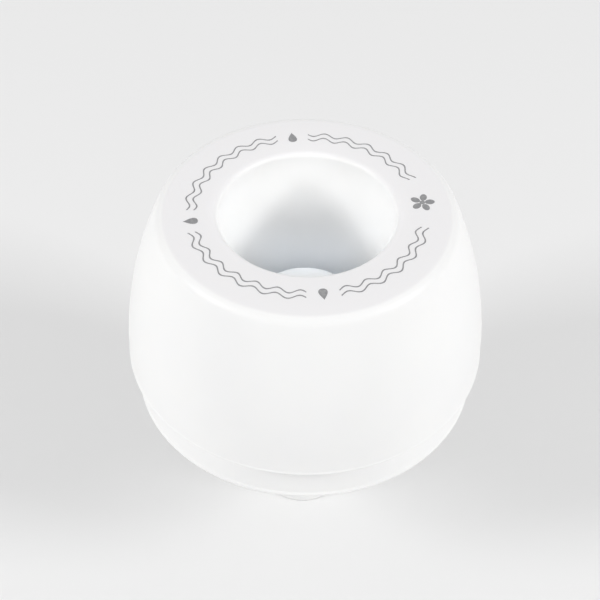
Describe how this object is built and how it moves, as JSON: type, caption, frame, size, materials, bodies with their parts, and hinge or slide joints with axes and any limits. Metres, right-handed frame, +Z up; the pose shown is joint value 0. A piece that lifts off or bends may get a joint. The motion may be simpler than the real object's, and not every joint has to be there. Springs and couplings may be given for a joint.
{
  "type": "fabric softener dispenser",
  "caption": "Barrel-shaped softener dispenser with a round fill opening, an inner cup, a spigot band and a drain stem, which drops into the top of a washing machine's agitator post.",
  "frame": {"origin": "on the axis at the drain stem's lower end, where the dispenser stands", "axes": "+Z up along the axis towards the fill opening; round about it, with the cup's rests on X and Y"},
  "size_m": [0.135, 0.135, 0.1484],
  "materials": {
    "white_moulding": "satin moulded white polypropylene",
    "grey_print": "flat pad-printed grey ink"
  },
  "bodies": {
    "root": {"dispenser_shell": "white_moulding", "dispensing_cup": "white_moulding", "drain_base": "white_moulding"}
  },
  "joints": []
}
